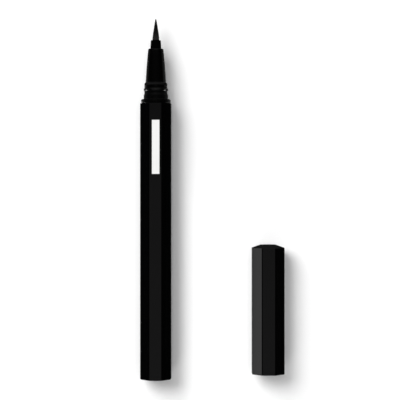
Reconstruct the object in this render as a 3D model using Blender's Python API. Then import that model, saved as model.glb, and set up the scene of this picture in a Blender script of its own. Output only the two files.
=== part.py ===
"""Liquid eyeliner pen, lying on a facet, with its cap taken off beside it.

Metres, +Z up. The pen lies along Y with its brush towards +Y, and the origin is the middle of
the barrel's underside facet. The cap lies parallel to the pen, closed end towards +Y.

Each piece is modelled upright, along its own Z, and laid down by the empty that carries it:
the pen's empty stands at the barrel's front shoulder, the cap's at its mouth. A height on the
pen is therefore a distance ahead of the shoulder, and a height in the cap is a depth behind
its mouth.
"""

import math

import bmesh
import bpy
from mathutils import Matrix, Vector

MM = 0.001

# Fits that the whole set shares
FIT_GAP = 0.30 * MM
FINE_GAP = 0.15 * MM
CUT_OVERRUN = 1.00 * MM
WELD_DISTANCE = 0.001 * MM
SMOOTH_ANGLE = math.radians(30)
UPWARD_SHARE = 0.50

# Sides of the turned pieces
SHOWN_SIDES = 28
INNER_SIDES = 20
OCTAGON_SIDES = 8

# Barrel
BARREL_ACROSS_FLATS = 10.38 * MM
BARREL_LENGTH = 92.86 * MM
BARREL_WALL = 0.85 * MM
BARREL_END_WALL = 1.70 * MM
BARREL_CROWN_HEIGHT = 0.60 * MM
BARREL_CROWN_FLATS = 5.00 * MM
FACET_EDGE_ROUND = 0.22 * MM
RIM_ROUND = 0.12 * MM

# Neck, ahead of the barrel's shoulder
FLANGE_STEP = 0.25 * MM
FLANGE_LENGTH = 1.15 * MM
FLANGE_ROUND = 0.20 * MM
COLLAR_STEP = 0.90 * MM
COLLAR_LENGTH = 1.75 * MM
COLLAR_FLARE = 0.30 * MM
GROOVE_DEPTH = 0.22 * MM
GROOVE_LENGTH = 1.50 * MM
BEAD_HEIGHT = 0.24 * MM
BEAD_LENGTH = 0.50 * MM
BEAD_SLOPE_SHARE = 0.25
SPIGOT_LENGTH = 6.00 * MM
SPIGOT_LEAD_IN = 0.30 * MM
SPIGOT_WALL = 1.40 * MM
SOCKET_DEPTH = 4.00 * MM
SOCKET_WALL = 0.57 * MM
SEAL_GROOVE_LENGTH = 1.20 * MM
SEAL_GROOVE_DEPTH = 0.60 * MM
SEAL_GROOVE_SETBACK = 2.40 * MM

# Nose cone
NOSE_RING_LENGTH = 1.80 * MM
NOSE_RING_STEP = 0.43 * MM
NOSE_RING_ROUND = 0.10 * MM
CONE_LENGTH = 11.35 * MM
CONE_SWELL = 0.12 * MM
CONE_FRONT_ROUND = 0.30 * MM
CONE_FRONT_WALL = 0.55 * MM
CONE_ARC_STEPS = 6
NOSE_SHANK_WALL = 0.55 * MM
TIP_SEAT_DEPTH = 6.30 * MM

# Tip tube and brush
BRUSH_DIAMETER = 2.17 * MM
BRUSH_LENGTH = 7.17 * MM
BRUSH_RECESS = 0.40 * MM
BRISTLE_SLICE = 0.80 * MM
BRISTLE_GAP = 0.028 * MM
BRISTLES_ACROSS = 18
BRISTLE_TAPER_POWER = 0.85
BRISTLE_LEAST_TAPER_SHARE = 0.12
BRISTLE_OUTER_SHORTENING_SHARE = 0.15
BRISTLE_RAGGED_SHARE = 0.04
BRISTLE_RAGGED_STRIDE = 12.9898
TIP_TUBE_WALL = 0.385 * MM
TIP_TUBE_TAPER = 0.115 * MM
TIP_TUBE_SHOWN = 2.86 * MM
TIP_TUBE_ROUND = 0.12 * MM
TIP_FLANGE_LENGTH = 1.50 * MM
BRUSH_COLLAR_LENGTH = 1.05 * MM

# Collector and feed core
FEED_CORE_DIAMETER = 1.50 * MM
FEED_CORE_CLEARANCE = 0.20 * MM
FEED_CORE_PROUD = 0.60 * MM
COLLECTOR_NECK_CLEARANCE = 0.45 * MM
COLLECTOR_TAIL_WALL = 0.35 * MM
COLLECTOR_TAIL_PROUD = 0.50 * MM
COLLECTOR_ROOT_DEPTH = 1.70 * MM
FIN_CLEARANCE = 0.40 * MM
FIN_COUNT = 16
FIN_PITCH = 1.30 * MM
FIN_THICKNESS = 0.55 * MM
FIN_ZONE_SETBACK = 0.50 * MM
INK_SLOT_WIDTH = 0.50 * MM
INK_SLOT_FLOOR_WALL = 0.50 * MM
AIR_GROOVE_WIDTH = 1.40 * MM
AIR_GROOVE_DEPTH = 0.90 * MM

# Tank, stopper and ball
TANK_WALL = 0.65 * MM
TANK_END_WALL = 0.90 * MM
STOPPER_FLANGE_LENGTH = 1.00 * MM
STOPPER_PLUG_LENGTH = 4.50 * MM
STOPPER_LEAD_IN = 0.30 * MM
BALL_DIAMETER = 3.50 * MM
BALL_REST_SHARE = 0.50
BALL_REFINEMENT = 3

# Seals
SEAL_SECTION_SIDES = 8

# Cap shell
CAP_RUNNING_CLEARANCE = 0.10 * MM
CAP_WALL = 0.39 * MM
CAP_LENGTH = 43.42 * MM
CAP_END_WALL = 2.40 * MM
CAP_CROWN_HEIGHT = 1.07 * MM
CAP_CROWN_FLATS = 5.00 * MM

# Cap liner
LINER_GAP = 0.25 * MM
LINER_WALL = 0.45 * MM
LINER_END_WALL = 0.80 * MM
SNAP_RIB_BITE = 0.11 * MM
SNAP_RIB_LENGTH = 0.90 * MM
LIP_SETBACK = 1.00 * MM
LIP_LENGTH = 0.60 * MM
LIP_CLEARANCE = 0.20 * MM

# Inner cap and its spring
INNER_CAP_FLANGE_LENGTH = 1.00 * MM
INNER_CAP_FLANGE_STEP = 0.20 * MM
INNER_CAP_WALL = 0.68 * MM
INNER_CAP_END_WALL = 1.00 * MM
INNER_CAP_TIP_ROOM = 2.40 * MM
INNER_CAP_SPIGOT_DIAMETER = 2.60 * MM
INNER_CAP_SPIGOT_LENGTH = 1.50 * MM
SPRING_WIRE_DIAMETER = 0.40 * MM
SPRING_MEAN_DIAMETER = 4.80 * MM
SPRING_TURNS = 5.5
SPRING_POINTS_A_TURN = 10

# Where the cap lies beside the pen
CAP_SIDE_OFFSET = 37.77 * MM
CAP_MOUTH_SETBACK = 90.80 * MM

# Radii worked out from the outside inwards
barrel_bore = BARREL_ACROSS_FLATS / 2 - BARREL_WALL
flange_radius = BARREL_ACROSS_FLATS / 2 - FLANGE_STEP
collar_radius = flange_radius - COLLAR_STEP
groove_radius = collar_radius - GROOVE_DEPTH
bead_radius = groove_radius + BEAD_HEIGHT
spigot_radius = barrel_bore - FIT_GAP
neck_bore = spigot_radius - SPIGOT_WALL
socket_radius = groove_radius - SOCKET_WALL
cone_base_radius = groove_radius - NOSE_RING_STEP
shank_radius = socket_radius - FIT_GAP
nose_bore = shank_radius - NOSE_SHANK_WALL
tank_radius = barrel_bore - FIT_GAP
tank_bore = tank_radius - TANK_WALL
stopper_radius = tank_bore - FIT_GAP
fin_radius = barrel_bore - FIN_CLEARANCE
collector_root = fin_radius - COLLECTOR_ROOT_DEPTH
collector_neck = nose_bore - COLLECTOR_NECK_CLEARANCE
tip_flange_radius = nose_bore - FINE_GAP

# Radii worked out from the brush outwards
brush_radius = BRUSH_DIAMETER / 2
tip_bore = brush_radius + FINE_GAP
tip_front_radius = tip_bore + TIP_TUBE_WALL
tip_rear_radius = tip_front_radius + TIP_TUBE_TAPER
nose_mouth = tip_rear_radius + FINE_GAP
cone_front_radius = nose_mouth + CONE_FRONT_WALL
feed_bore = FEED_CORE_DIAMETER / 2 + FEED_CORE_CLEARANCE
tail_radius = feed_bore + COLLECTOR_TAIL_WALL
stopper_bore = tail_radius + FIT_GAP

# Radii in the cap
cap_bore = flange_radius + CAP_RUNNING_CLEARANCE
cap_across_flats = 2 * (cap_bore + CAP_WALL)
liner_radius = cap_bore - LINER_GAP
liner_bore = liner_radius - LINER_WALL
snap_rib_radius = bead_radius - SNAP_RIB_BITE
lip_radius = cone_base_radius + LIP_CLEARANCE
inner_flange_radius = liner_bore - FIT_GAP
inner_cap_radius = inner_flange_radius - INNER_CAP_FLANGE_STEP
inner_cap_bore = inner_cap_radius - INNER_CAP_WALL

# Heights on the pen, ahead of the shoulder
flange_rear = FIT_GAP
flange_front = flange_rear + FLANGE_LENGTH
collar_front = flange_front + COLLAR_LENGTH
groove_front = collar_front + GROOVE_LENGTH
neck_front = groove_front + BEAD_LENGTH
ring_rear = neck_front + FINE_GAP
ring_front = ring_rear + NOSE_RING_LENGTH
cone_front = ring_front + CONE_LENGTH
tip_front = cone_front + TIP_TUBE_SHOWN
brush_tip = tip_front + BRUSH_LENGTH
socket_floor = neck_front - SOCKET_DEPTH
shank_rear = socket_floor + FIT_GAP
tip_seat = cone_front - TIP_SEAT_DEPTH
tip_flange_front = tip_seat - FINE_GAP
tip_rear = tip_flange_front - TIP_FLANGE_LENGTH
bristle_root = tip_front - BRUSH_RECESS
slice_rear = bristle_root - BRISTLE_SLICE
brush_root_front = slice_rear - FINE_GAP
brush_collar_front = tip_rear - FINE_GAP
brush_root_rear = brush_collar_front - BRUSH_COLLAR_LENGTH
feed_core_front = brush_root_rear - FIT_GAP
collector_front = feed_core_front - FEED_CORE_PROUD

# Heights on the pen, behind the shoulder
spigot_rear = -SPIGOT_LENGTH
fins_front = spigot_rear - FIN_ZONE_SETBACK
fins_rear = fins_front - FIN_COUNT * FIN_PITCH
stopper_front = fins_rear - FIT_GAP
stopper_flange_rear = stopper_front - STOPPER_FLANGE_LENGTH
stopper_rear = stopper_flange_rear - STOPPER_PLUG_LENGTH
collector_rear = stopper_rear - COLLECTOR_TAIL_PROUD
feed_core_rear = collector_rear - FEED_CORE_PROUD
tank_front = stopper_flange_rear - FIT_GAP
barrel_floor = BARREL_END_WALL - BARREL_LENGTH
tank_rear = barrel_floor + FIT_GAP
tank_floor = tank_rear + TANK_END_WALL

# Depths in the cap, behind its mouth, which are heights ahead of the shoulder once it is seated
liner_front = flange_front + FIT_GAP
cap_floor = CAP_LENGTH - CAP_END_WALL
liner_end = cap_floor - FIT_GAP
liner_floor = liner_end - LINER_END_WALL
snap_rib_middle = (collar_front + groove_front) / 2
lip_front = ring_front + LIP_SETBACK
lip_rear = lip_front + LIP_LENGTH
inner_cap_front = lip_rear + FIT_GAP
inner_flange_rear = inner_cap_front + INNER_CAP_FLANGE_LENGTH
inner_cap_floor = brush_tip + INNER_CAP_TIP_ROOM
inner_cap_end = inner_cap_floor + INNER_CAP_END_WALL
inner_spigot_end = inner_cap_end + INNER_CAP_SPIGOT_LENGTH


def material(name, colour, roughness, metallic=0.0):
    """Return a Principled material of one piece."""
    made = bpy.data.materials.new(name)
    made.use_nodes = True
    shader = made.node_tree.nodes["Principled BSDF"]
    shader.inputs["Base Color"].default_value = (*colour, 1.0)
    shader.inputs["Roughness"].default_value = roughness
    shader.inputs["Metallic"].default_value = metallic
    return made


BLACK_SATIN = ((0.006, 0.006, 0.007), 0.30)
BLACK_MATT = ((0.010, 0.010, 0.011), 0.55)
BLACK_BRISTLE = ((0.012, 0.012, 0.013), 0.60)
NATURAL_RESIN = ((0.72, 0.71, 0.68), 0.35)
WHITE_RESIN = ((0.80, 0.80, 0.79), 0.40)
FIBRE = ((0.70, 0.68, 0.62), 0.90)
DARK_RUBBER = ((0.020, 0.020, 0.020), 0.70)
STEEL = ((0.62, 0.62, 0.63), 0.22, 1.0)


def empty(name, location):
    """Add an empty that lays an upright piece down, its Z towards +Y."""
    carrier = bpy.data.objects.new(name, None)
    carrier.location = location
    carrier.rotation_euler = (-math.pi / 2, 0, 0)
    bpy.context.collection.objects.link(carrier)
    return carrier


def add_object(name, bm, finish, carrier):
    """Turn a finished bmesh into a named object on its carrier."""
    mesh = bpy.data.meshes.new(name)
    bm.to_mesh(mesh)
    bm.free()
    mesh.shade_smooth()
    mesh.set_sharp_from_angle(angle=SMOOTH_ANGLE)
    mesh.materials.append(material(name, *finish))
    added = bpy.data.objects.new(name, mesh)
    bpy.context.collection.objects.link(added)
    added.parent = carrier
    return added


def add_cut(piece, name, bm):
    """Cut a piece by a hidden solid on the same carrier."""
    mesh = bpy.data.meshes.new(name)
    bm.to_mesh(mesh)
    bm.free()
    cutter = bpy.data.objects.new(name, mesh)
    bpy.context.collection.objects.link(cutter)
    cutter.parent = piece.parent
    cutter.hide_render = True
    cutter.display_type = "WIRE"
    cut = piece.modifiers.new(name, "BOOLEAN")
    cut.operation = "DIFFERENCE"
    cut.solver = "EXACT"
    cut.object = cutter


def turned(outline, sides):
    """Spin a closed outline of (radius, height) points about Z."""
    bm = bmesh.new()
    points = [bm.verts.new((radius, 0, height)) for radius, height in outline]
    edges = [
        bm.edges.new(pair)
        for pair in zip(points, points[1:] + points[:1])
        if max(pair[0].co.x, pair[1].co.x) > 0
    ]
    bmesh.ops.spin(
        bm, geom=points + edges, cent=(0, 0, 0), axis=(0, 0, 1), dvec=(0, 0, 0),
        angle=math.tau, steps=sides, use_merge=True,
    )
    bmesh.ops.remove_doubles(bm, verts=bm.verts, dist=WELD_DISTANCE)
    bmesh.ops.recalc_face_normals(bm, faces=bm.faces)
    return bm


def box(width, depth, low, high, middle_y):
    """Return an upright box between two heights, centred on X and about a Y place."""
    bm = bmesh.new()
    bmesh.ops.create_cube(bm, size=1)
    bmesh.ops.scale(bm, verts=bm.verts, vec=(width, depth, high - low))
    bmesh.ops.translate(bm, verts=bm.verts, vec=(0, middle_y, (low + high) / 2))
    return bm


def crowned_octagon(across_flats, length, crown_height, crown_flats):
    """Return an upright octagonal bar from height 0 up to its crowned end."""
    bm = bmesh.new()
    corner_angle = math.pi / OCTAGON_SIDES
    corner_radius = across_flats / 2 / math.cos(corner_angle)
    bmesh.ops.create_circle(bm, cap_ends=True, segments=OCTAGON_SIDES, radius=corner_radius)
    bmesh.ops.rotate(bm, verts=bm.verts, matrix=Matrix.Rotation(corner_angle, 3, "Z"))
    raised = bmesh.ops.extrude_face_region(bm, geom=list(bm.faces))
    upper = [item for item in raised["geom"] if isinstance(item, bmesh.types.BMVert)]
    bmesh.ops.translate(bm, verts=upper, vec=(0, 0, length - crown_height))
    bmesh.ops.recalc_face_normals(bm, faces=bm.faces)
    end = [face for face in bm.faces if face.normal.z > UPWARD_SHARE]
    bmesh.ops.inset_region(
        bm, faces=end, thickness=(across_flats - crown_flats) / 2, depth=crown_height,
        use_even_offset=True,
    )
    uprights = [edge for edge in bm.edges if abs(edge.verts[0].co.z - edge.verts[1].co.z) > length / 2]
    crown_base = [
        edge for edge in bm.edges
        if edge not in uprights
        and min(vert.co.z for vert in edge.verts) > length / 2
        and max(vert.co.z for vert in edge.verts) < length - crown_height / 2
    ]
    bmesh.ops.bevel(
        bm, geom=uprights + crown_base, offset=FACET_EDGE_ROUND, offset_type="OFFSET",
        segments=2, profile=0.5, affect="EDGES", clamp_overlap=True, material=-1,
    )
    rim = [edge for edge in bm.edges if max(vert.co.z for vert in edge.verts) < WELD_DISTANCE]
    bmesh.ops.bevel(
        bm, geom=rim, offset=RIM_ROUND, offset_type="OFFSET", segments=1, profile=0.5,
        affect="EDGES", clamp_overlap=True, material=-1,
    )
    return bm


def seal_ring(name, inner_radius, outer_radius, middle, carrier):
    """Add a rubber ring of round section between two radii."""
    section = (outer_radius - inner_radius) / 2
    centre = (outer_radius + inner_radius) / 2
    outline = [
        (
            centre + section * math.cos(math.tau * step / SEAL_SECTION_SIDES),
            middle + section * math.sin(math.tau * step / SEAL_SECTION_SIDES),
        )
        for step in range(SEAL_SECTION_SIDES)
    ]
    return add_object(name, turned(outline, INNER_SIDES), DARK_RUBBER, carrier)


def build_barrel(pen):
    """Octagonal shell with a blind round bore and a low octagonal crown at its rear end."""
    bm = crowned_octagon(
        BARREL_ACROSS_FLATS, BARREL_LENGTH, BARREL_CROWN_HEIGHT, BARREL_CROWN_FLATS
    )
    bmesh.ops.rotate(bm, verts=bm.verts, matrix=Matrix.Rotation(math.pi, 3, "X"))
    barrel = add_object("barrel", bm, BLACK_SATIN, pen)
    bore = [(0, barrel_floor), (barrel_bore, barrel_floor), (barrel_bore, CUT_OVERRUN), (0, CUT_OVERRUN)]
    add_cut(barrel, "barrel_bore", turned(bore, SHOWN_SIDES))


def build_tank(pen):
    """Round tube closed at its rear, which holds the ink."""
    outline = [
        (0, tank_rear), (tank_radius, tank_rear), (tank_radius, tank_front),
        (tank_bore, tank_front), (tank_bore, tank_floor), (0, tank_floor),
    ]
    add_object("ink_tank", turned(outline, INNER_SIDES), NATURAL_RESIN, pen)


def build_ball(pen):
    """Steel ball that lies on the tank's lower wall, on a carrier of its own."""
    radius = BALL_DIAMETER / 2
    rear_stop = tank_floor + FIT_GAP + radius
    front_stop = feed_core_rear - FIT_GAP - radius
    place = Vector((0, tank_bore - FIT_GAP - radius, 0))
    place.z = rear_stop + (front_stop - rear_stop) * BALL_REST_SHARE
    bm = bmesh.new()
    bmesh.ops.create_icosphere(bm, subdivisions=BALL_REFINEMENT, radius=radius)
    ball = add_object("mixing_ball", bm, STEEL, pen)
    ball.location = place
    print("mixing ball travel either way, mm:", (front_stop - place.z) / MM, (place.z - rear_stop) / MM)


def build_stopper(pen):
    """Plug in the tank's mouth, with a seal groove and a hole for the collector's tail."""
    groove_middle = (stopper_flange_rear + stopper_rear) / 2
    groove_low = groove_middle - SEAL_GROOVE_LENGTH / 2
    groove_high = groove_middle + SEAL_GROOVE_LENGTH / 2
    groove_floor = stopper_radius - SEAL_GROOVE_DEPTH
    outline = [
        (stopper_bore, stopper_rear), (stopper_radius - STOPPER_LEAD_IN, stopper_rear),
        (stopper_radius, stopper_rear + STOPPER_LEAD_IN), (stopper_radius, groove_low),
        (groove_floor, groove_low), (groove_floor, groove_high), (stopper_radius, groove_high),
        (stopper_radius, stopper_flange_rear), (tank_radius, stopper_flange_rear),
        (tank_radius, stopper_front), (stopper_bore, stopper_front),
    ]
    add_object("tank_stopper", turned(outline, INNER_SIDES), WHITE_RESIN, pen)
    seal_ring("stopper_o_ring", groove_floor + FINE_GAP, tank_bore - FINE_GAP, groove_middle, pen)


def build_collector(pen):
    """Comb of fins on a hollow stem, slit for the ink on one side and grooved for air opposite."""
    outline = [
        (feed_bore, collector_front), (feed_bore, collector_rear), (tail_radius, collector_rear),
        (tail_radius, fins_rear),
    ]
    for fin in range(FIN_COUNT):
        low = fins_rear + fin * FIN_PITCH
        high = low + FIN_THICKNESS
        if fin:
            outline.append((collector_root, low))
        outline += [(fin_radius, low), (fin_radius, high), (collector_root, high)]
    outline += [
        (collector_root, fins_front), (collector_neck, fins_front),
        (collector_neck, collector_front),
    ]
    collector = add_object("collector", turned(outline, INNER_SIDES), WHITE_RESIN, pen)
    slot_reach = fin_radius + CUT_OVERRUN
    slot_floor = feed_bore + INK_SLOT_FLOOR_WALL
    add_cut(
        collector, "ink_slot",
        box(INK_SLOT_WIDTH, slot_reach - slot_floor, fins_rear - CUT_OVERRUN / 2,
            fins_front - FIN_ZONE_SETBACK, (slot_reach + slot_floor) / 2),
    )
    groove_floor = fin_radius - AIR_GROOVE_DEPTH
    add_cut(
        collector, "air_groove",
        box(AIR_GROOVE_WIDTH, slot_reach - groove_floor, fins_rear - CUT_OVERRUN / 2,
            fins_front + CUT_OVERRUN, -(slot_reach + groove_floor) / 2),
    )


def build_feed_core(pen):
    """Fibre rod from the tank to the rear of the brush."""
    radius = FEED_CORE_DIAMETER / 2
    outline = [
        (0, feed_core_rear), (radius, feed_core_rear), (radius, feed_core_front), (0, feed_core_front),
    ]
    add_object("feed_core", turned(outline, INNER_SIDES), FIBRE, pen)


def build_neck(pen):
    """Flange, collar, cap groove and snap bead, with a sealed spigot in the barrel."""
    seal_high = -SEAL_GROOVE_SETBACK
    seal_low = seal_high - SEAL_GROOVE_LENGTH
    seal_floor = spigot_radius - SEAL_GROOVE_DEPTH
    bead_slope = BEAD_LENGTH * BEAD_SLOPE_SHARE
    outline = [
        (neck_bore, spigot_rear), (spigot_radius - SPIGOT_LEAD_IN, spigot_rear),
        (spigot_radius, spigot_rear + SPIGOT_LEAD_IN), (spigot_radius, seal_low),
        (seal_floor, seal_low), (seal_floor, seal_high), (spigot_radius, seal_high),
        (spigot_radius, flange_rear), (flange_radius, flange_rear),
        (flange_radius, flange_front - FLANGE_ROUND),
        (flange_radius - FLANGE_ROUND, flange_front),
        (collar_radius + COLLAR_FLARE, flange_front), (collar_radius, flange_front + COLLAR_FLARE),
        (collar_radius, collar_front), (groove_radius, collar_front), (groove_radius, groove_front),
        (bead_radius, groove_front + bead_slope), (bead_radius, neck_front - bead_slope),
        (groove_radius, neck_front), (socket_radius, neck_front), (socket_radius, socket_floor),
        (neck_bore, socket_floor),
    ]
    add_object("neck", turned(outline, SHOWN_SIDES), BLACK_SATIN, pen)
    seal_ring(
        "neck_o_ring", seal_floor + FINE_GAP, barrel_bore - FINE_GAP, (seal_low + seal_high) / 2, pen
    )


def cone_radius(height):
    """Radius of the nose cone's outside, a straight taper with a slight swell."""
    share = (height - ring_front) / CONE_LENGTH
    straight = cone_base_radius + (cone_front_radius - cone_base_radius) * share
    return straight + CONE_SWELL * 4 * share * (1 - share)


def build_nose(pen):
    """Front ring and tapering nose, with a shank in the neck and a seat for the tip tube."""
    cone_end = cone_front - CONE_FRONT_ROUND
    rise = (cone_end - ring_front) / CONE_ARC_STEPS
    cone = [ring_front + rise * step for step in range(CONE_ARC_STEPS + 1)]
    outline = [
        (nose_bore, shank_rear), (shank_radius, shank_rear), (shank_radius, ring_rear),
        (groove_radius - NOSE_RING_ROUND, ring_rear), (groove_radius, ring_rear + NOSE_RING_ROUND),
        (groove_radius, ring_front - NOSE_RING_ROUND), (groove_radius - NOSE_RING_ROUND, ring_front),
    ]
    outline += [(cone_radius(height), height) for height in cone]
    outline += [
        (cone_front_radius - CONE_FRONT_ROUND, cone_front), (nose_mouth, cone_front),
        (nose_mouth, tip_seat), (nose_bore, tip_seat),
    ]
    add_object("nose_cone", turned(outline, SHOWN_SIDES), BLACK_SATIN, pen)


def build_tip_tube(pen):
    """Small tapering tube that holds the brush, kept in the nose by its rear flange."""
    outline = [
        (tip_bore, tip_rear), (tip_flange_radius, tip_rear), (tip_flange_radius, tip_flange_front),
        (tip_rear_radius, tip_flange_front), (tip_rear_radius, cone_front),
        (tip_front_radius, tip_front - TIP_TUBE_ROUND),
        (tip_front_radius - TIP_TUBE_ROUND, tip_front), (tip_bore, tip_front),
    ]
    add_object("tip_tube", turned(outline, INNER_SIDES), BLACK_MATT, pen)


def build_brush_root(pen):
    """Fused rear part of the brush, with a collar behind the tip tube."""
    outline = [
        (0, brush_root_rear), (tip_flange_radius, brush_root_rear),
        (tip_flange_radius, brush_collar_front), (brush_radius, brush_collar_front),
        (brush_radius, brush_root_front), (0, brush_root_front),
    ]
    add_object("brush_root", turned(outline, INNER_SIDES), BLACK_MATT, pen)


def square_to_disc(x, y):
    """Map a point of the square from -1 to 1 onto the unit disc, square rings to round ones."""
    if x == 0 and y == 0:
        return 0, 0
    if abs(x) >= abs(y):
        angle = math.pi / 4 * y / x
        return x * math.cos(angle), x * math.sin(angle)
    angle = math.pi / 4 * x / y
    return y * math.sin(angle), y * math.cos(angle)


def build_bristles(pen):
    """Strands that rise from a fused slice and draw together towards the point."""
    bm = bmesh.new()
    bmesh.ops.create_grid(bm, x_segments=BRISTLES_ACROSS, y_segments=BRISTLES_ACROSS, size=1)
    for vert in bm.verts:
        x, y = square_to_disc(round(vert.co.x, 6), round(vert.co.y, 6))
        vert.co = (brush_radius * x, brush_radius * y, slice_rear)
    floor = list(bm.faces)
    raised = bmesh.ops.extrude_face_region(bm, geom=floor, use_keep_orig=True)
    roots = [item for item in raised["geom"] if isinstance(item, bmesh.types.BMFace)]
    upper = [item for item in raised["geom"] if isinstance(item, bmesh.types.BMVert)]
    bmesh.ops.translate(bm, verts=upper, vec=(0, 0, BRISTLE_SLICE))
    bmesh.ops.dissolve_faces(bm, faces=floor, use_verts=False)
    bmesh.ops.recalc_face_normals(bm, faces=bm.faces)
    bmesh.ops.inset_individual(bm, faces=roots, thickness=BRISTLE_GAP / 2, use_even_offset=True)
    strands = bmesh.ops.extrude_discrete_faces(bm, faces=roots)["faces"]
    reach = brush_tip - bristle_root
    for number, strand in enumerate(strands):
        outness_share = strand.calc_center_median().xy.length / brush_radius
        ragged = math.sin(number * BRISTLE_RAGGED_STRIDE) % 1.0
        shortening_share = outness_share * (BRISTLE_OUTER_SHORTENING_SHARE + BRISTLE_RAGGED_SHARE * ragged)
        taper = max(shortening_share ** BRISTLE_TAPER_POWER, BRISTLE_LEAST_TAPER_SHARE)
        for vert in strand.verts:
            vert.co.xy *= taper
            vert.co.z += reach * (1 - shortening_share)
    print("bristles:", len(strands))
    add_object("brush_bristles", bm, BLACK_BRISTLE, pen)


def build_cap_shell(cap):
    """Octagonal cap with a blind round bore and a crowned closed end."""
    bm = crowned_octagon(cap_across_flats, CAP_LENGTH, CAP_CROWN_HEIGHT, CAP_CROWN_FLATS)
    shell = add_object("cap_shell", bm, BLACK_SATIN, cap)
    bore = [(0, -CUT_OVERRUN), (cap_bore, -CUT_OVERRUN), (cap_bore, cap_floor), (0, cap_floor)]
    add_cut(shell, "cap_bore", turned(bore, SHOWN_SIDES))


def build_cap_liner(cap):
    """Blind sleeve with the rib that snaps into the neck's groove and the inner cap's lip."""
    rib_low = snap_rib_middle - SNAP_RIB_LENGTH / 2
    rib_high = snap_rib_middle + SNAP_RIB_LENGTH / 2
    outline = [
        (0, liner_end), (liner_radius, liner_end), (liner_radius, liner_front),
        (liner_bore, liner_front), (liner_bore, rib_low), (snap_rib_radius, snap_rib_middle),
        (liner_bore, rib_high), (liner_bore, lip_front), (lip_radius, lip_front),
        (lip_radius, lip_rear), (liner_bore, lip_rear), (liner_bore, liner_floor), (0, liner_floor),
    ]
    add_object("cap_liner", turned(outline, INNER_SIDES), BLACK_MATT, cap)


def build_inner_cap(cap):
    """Spring-loaded cup that closes over the nose, kept in by its flange."""
    spigot = INNER_CAP_SPIGOT_DIAMETER / 2
    outline = [
        (0, inner_cap_floor), (inner_cap_bore, inner_cap_floor), (inner_cap_bore, inner_cap_front),
        (inner_flange_radius, inner_cap_front), (inner_flange_radius, inner_flange_rear),
        (inner_cap_radius, inner_flange_rear), (inner_cap_radius, inner_cap_end),
        (spigot, inner_cap_end), (spigot, inner_spigot_end), (0, inner_spigot_end),
    ]
    add_object("inner_cap", turned(outline, INNER_SIDES), BLACK_MATT, cap)


def build_spring(cap):
    """Coil spring between the inner cap and the liner's closed end."""
    wire = SPRING_WIRE_DIAMETER / 2
    low = inner_cap_end + FIT_GAP + wire
    high = liner_floor - FIT_GAP - wire
    steps = round(SPRING_TURNS * SPRING_POINTS_A_TURN)
    radius = SPRING_MEAN_DIAMETER / 2
    points = []
    for step in range(steps + 1):
        angle = math.tau * step / SPRING_POINTS_A_TURN
        height = low + (high - low) * step / steps
        points.append(Vector((radius * math.cos(angle), radius * math.sin(angle), height)))
    curve = bpy.data.curves.new("inner_cap_spring", "CURVE")
    curve.dimensions = "3D"
    curve.bevel_depth = wire
    curve.bevel_resolution = 1
    curve.use_fill_caps = True
    spline = curve.splines.new("POLY")
    spline.points.add(len(points) - 1)
    for target, point in zip(spline.points, points):
        target.co = (*point, 1)
    curve.materials.append(material("inner_cap_spring", *STEEL))
    spring = bpy.data.objects.new("inner_cap_spring", curve)
    bpy.context.collection.objects.link(spring)
    spring.parent = cap
    half_turn = SPRING_POINTS_A_TURN // 2
    least = min(
        (first - second).length
        for index, first in enumerate(points)
        for second in points[index + half_turn:]
    )
    print("spring's least gap to itself, mm:", (least - SPRING_WIRE_DIAMETER) / MM)


def main():
    for old in list(bpy.data.objects):
        bpy.data.objects.remove(old, do_unlink=True)

    shoulder = BARREL_LENGTH / 2
    pen = empty("pen_axis", (0, shoulder, BARREL_ACROSS_FLATS / 2))
    build_barrel(pen)
    build_tank(pen)
    build_ball(pen)
    build_stopper(pen)
    build_collector(pen)
    build_feed_core(pen)
    build_neck(pen)
    build_nose(pen)
    build_tip_tube(pen)
    build_brush_root(pen)
    build_bristles(pen)

    cap = empty("cap_axis", (CAP_SIDE_OFFSET, shoulder - CAP_MOUTH_SETBACK, cap_across_flats / 2))
    build_cap_shell(cap)
    build_cap_liner(cap)
    build_inner_cap(cap)
    build_spring(cap)


main()
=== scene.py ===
"""Looks of a liquid eyeliner pen that lies on a pale floor beside its cap.

The pen lies along Y with its brush towards +Y, and the cap lies parallel to it with its closed
end the same way. Each turned or octagonal piece is made upright, along its own Z, in millimetres,
and laid down by the matrix of the line that carries it: the pen's line starts at the barrel's
front shoulder, the cap's at its mouth. Where the lines lie, and how far the replaced CAD nodes
reach along them and out from them, is read from the frame.
"""

import logging
import math
import random
from dataclasses import dataclass
from enum import Enum

import bmesh
import bpy
from mathutils import Matrix, Vector


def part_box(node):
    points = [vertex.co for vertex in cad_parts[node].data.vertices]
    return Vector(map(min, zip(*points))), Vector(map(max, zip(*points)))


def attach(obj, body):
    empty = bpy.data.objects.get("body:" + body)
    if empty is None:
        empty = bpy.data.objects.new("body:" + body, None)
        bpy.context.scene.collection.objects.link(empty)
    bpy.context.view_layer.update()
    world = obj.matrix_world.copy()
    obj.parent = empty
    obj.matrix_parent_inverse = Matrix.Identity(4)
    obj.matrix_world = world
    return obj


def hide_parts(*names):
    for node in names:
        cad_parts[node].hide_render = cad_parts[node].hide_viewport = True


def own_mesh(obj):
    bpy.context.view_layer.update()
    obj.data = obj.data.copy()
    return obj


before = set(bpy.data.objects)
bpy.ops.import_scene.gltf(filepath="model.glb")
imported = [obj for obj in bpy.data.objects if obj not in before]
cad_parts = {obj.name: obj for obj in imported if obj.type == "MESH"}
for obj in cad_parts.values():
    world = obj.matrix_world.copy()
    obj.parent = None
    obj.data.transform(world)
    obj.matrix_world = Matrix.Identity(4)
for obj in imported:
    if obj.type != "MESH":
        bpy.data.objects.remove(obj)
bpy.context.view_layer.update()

# A millimetre in the scene's metres, and the decimals kept of a millimetre size read from the frame
MM = 0.001
READ_DIGITS = 4

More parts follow.
